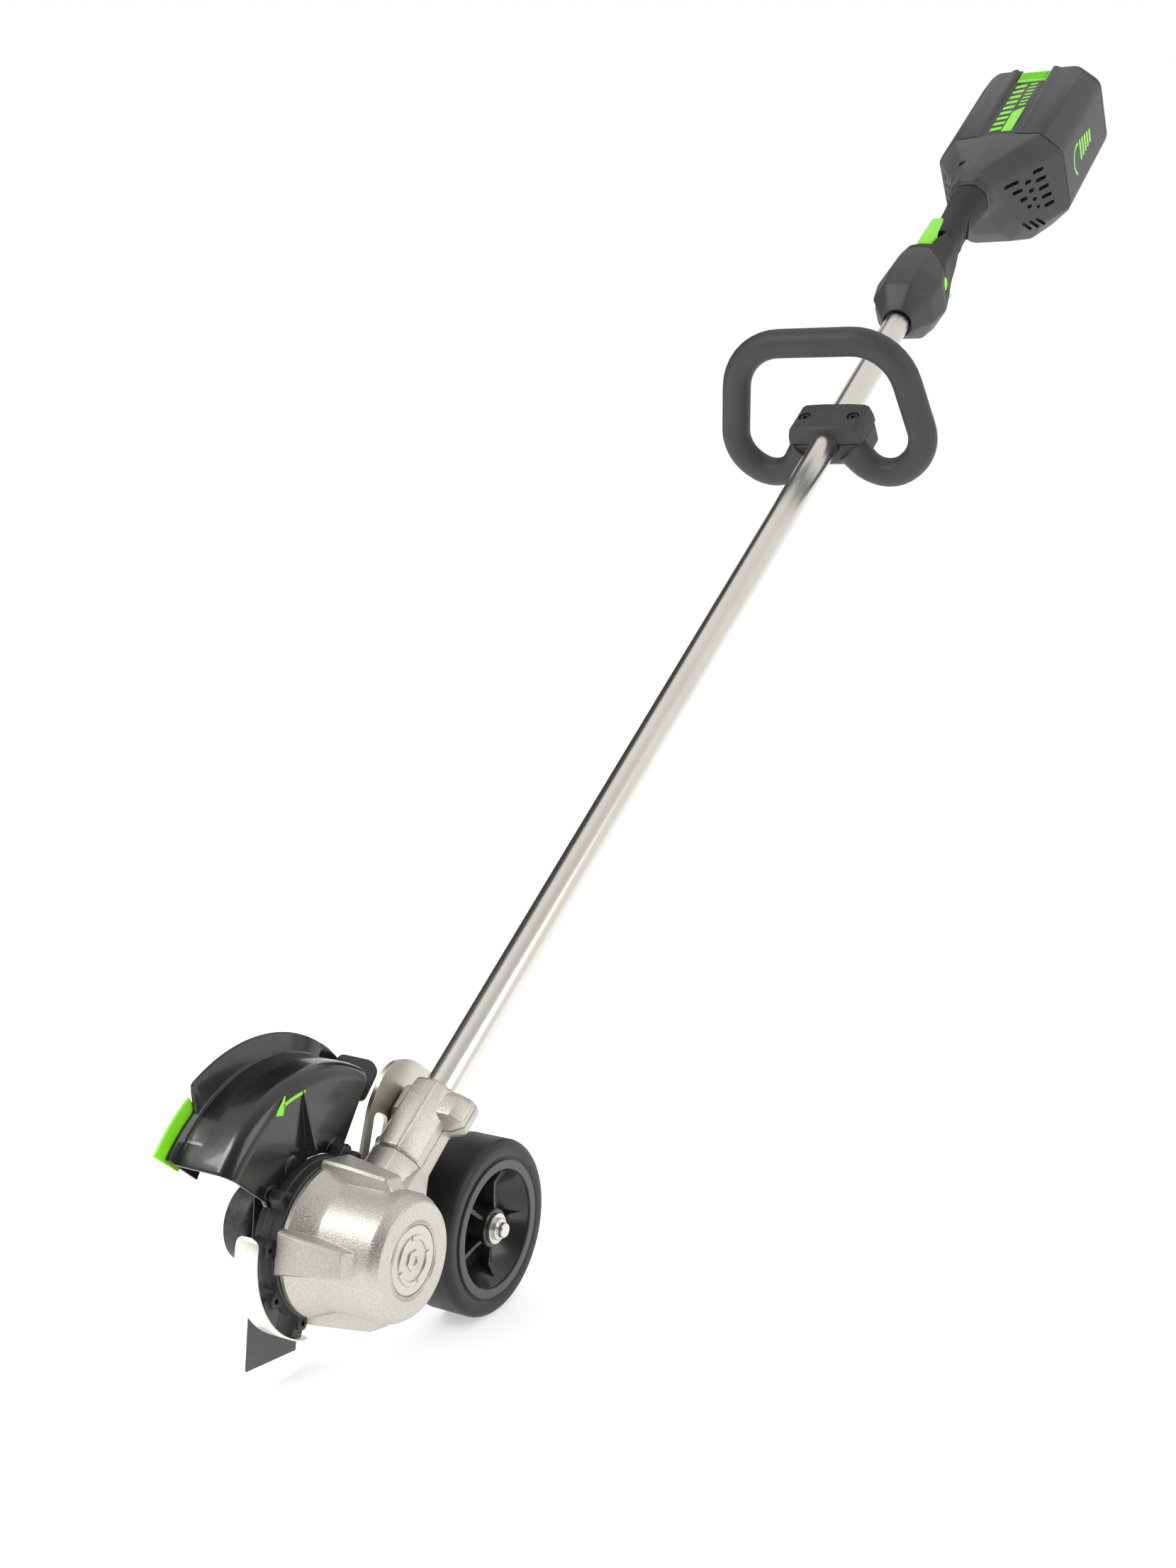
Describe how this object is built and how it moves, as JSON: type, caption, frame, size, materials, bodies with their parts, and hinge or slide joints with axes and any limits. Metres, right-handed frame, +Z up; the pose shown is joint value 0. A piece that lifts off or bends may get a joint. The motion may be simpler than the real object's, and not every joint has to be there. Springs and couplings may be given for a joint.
{
  "type": "lawn edger",
  "caption": "Battery lawn edger: blade head with hood and guide wheel on a straight shaft, sliding loop handle, rear grip with trigger and a slide-in battery.",
  "frame": {"origin": "the point where the blade's middle plane cuts the spindle's axis", "axes": "+X along the spindle from the blade to the closed end of the motor housing, +Z up, -Y the way the tool travels, so the shaft climbs backwards along +Y and +Z at 34.3 degrees"},
  "size_m": [0.2386, 1.6806, 1.1567],
  "materials": {
    "tube_metal": "satin silver tube",
    "cast_alloy": "sand-textured champagne silver",
    "guard_black": "gloss black moulding",
    "grey_plastic": "dark grey, fine grain",
    "black_plastic": "near black",
    "green_plastic": "bright green",
    "grip_rubber": "soft matt black",
    "tyre_rubber": "smooth black",
    "blade_steel": "ground steel",
    "dark_steel": "black oxide fasteners",
    "bright_steel": "zinc plated",
    "copper_coil": "lacquered copper",
    "badge_plastic": "black disc with a pale ring",
    "cell_wrap": "wrapped cells",
    "board_laminate": "green laminate",
    "cable_sheath": "black sheath"
  },
  "bodies": {
    "frame": {"shaft_tube": "tube_metal", "motor_cable": "cable_sheath", "motor_housing": "cast_alloy", "neck_clamp_cap": "cast_alloy", "neck_clamp_screws": "dark_steel", "cap_badge": "badge_plastic", "stator_core": "dark_steel", "stator_coils": "copper_coil", "front_bearing": "bright_steel", "rear_bearing": "bright_steel", "motor_flange": "grey_plastic", "motor_screws": "dark_steel", "deflector_strip": "bright_steel", "strip_rivets": "bright_steel", "blade_guard": "guard_black", "guard_screws": "dark_steel", "sight_plate": "green_plastic", "sight_rivets": "dark_steel", "debris_flap": "grip_rubber", "wheel_bracket": "cast_alloy", "bracket_bolts": "dark_steel", "grip_shell_right": "grey_plastic", "grip_shell_left": "grey_plastic", "shell_screws": "dark_steel", "grip_sleeve": "grip_rubber", "battery_bay": "grey_plastic", "bay_terminals": "bright_steel", "control_board": "board_laminate", "board_heat_sink": "cast_alloy", "trigger_switch": "black_plastic", "control_lead": "cable_sheath", "trigger_pin": "bright_steel", "lever_pin": "bright_steel"},
    "cutter": {"spindle": "bright_steel", "blade_seat": "bright_steel", "edger_blade": "blade_steel", "wear_cup": "dark_steel", "blade_nut": "dark_steel", "rotor_core": "bright_steel", "rotor_magnets": "dark_steel"},
    "wheel_carrier": {"wheel_axle": "bright_steel", "axle_washers": "bright_steel", "axle_spacer": "bright_steel", "axle_nut": "dark_steel"},
    "wheel": {"wheel_tyre": "tyre_rubber", "wheel_rim": "grey_plastic", "wheel_bushes": "black_plastic"},
    "handle": {"loop_handle": "grey_plastic", "handle_clamp_cap": "grey_plastic", "handle_bolts": "dark_steel", "handle_nuts": "dark_steel"},
    "trigger_body": {"trigger": "green_plastic"},
    "lock_off": {"lock_off_lever": "green_plastic"},
    "power_switch": {"power_button": "green_plastic"},
    "battery": {"battery_pack": "black_plastic", "battery_cells": "cell_wrap"},
    "latch": {"battery_latch": "green_plastic"}
  },
  "joints": [
    {"name": "blade_spin", "type": "hinge", "parent": "frame", "child": "cutter", "pos_m": [0, 0, 0], "axis": [1, 0, 0], "continuous": true},
    {"name": "wheel_height", "type": "slide", "parent": "frame", "child": "wheel_carrier", "axis": [0, 0, 1], "range_m": [-0.015, 0.012]},
    {"name": "wheel_roll", "type": "hinge", "parent": "wheel_carrier", "child": "wheel", "pos_m": [0.0645, 0.163, -0.0445], "axis": [1, 0, 0], "continuous": true},
    {"name": "handle_slide", "type": "slide", "parent": "frame", "child": "handle", "axis": [0, 0.8261, 0.5635], "range_m": [-0.15, 0.1]},
    {"name": "trigger_pull", "type": "hinge", "parent": "frame", "child": "trigger_body", "pos_m": [0.0587, 1.14479, 0.74582], "axis": [1, 0, 0], "range_deg": [0, 12], "stiffness_Nm_per_rad": 0.2, "springref_deg": -17.19},
    {"name": "lock_press", "type": "hinge", "parent": "frame", "child": "lock_off", "pos_m": [0.0587, 1.13554, 0.78067], "axis": [1, 0, 0], "range_deg": [-7, 0], "stiffness_Nm_per_rad": 0.3, "springref_deg": 17.19},
    {"name": "power_press", "type": "slide", "parent": "frame", "child": "power_switch", "axis": [-1, 0, 0], "range_m": [0, 0.0016], "stiffness_N_per_m": 600, "springref_m": -0.0012},
    {"name": "battery_slide", "type": "slide", "parent": "frame", "child": "battery", "axis": [0, 0.8261, 0.5635], "range_m": [0, 0.2]},
    {"name": "latch_press", "type": "slide", "parent": "battery", "child": "latch", "axis": [0, 0.5635, -0.8261], "range_m": [0, 0.0025], "stiffness_N_per_m": 800, "springref_m": -0.0015}
  ]
}
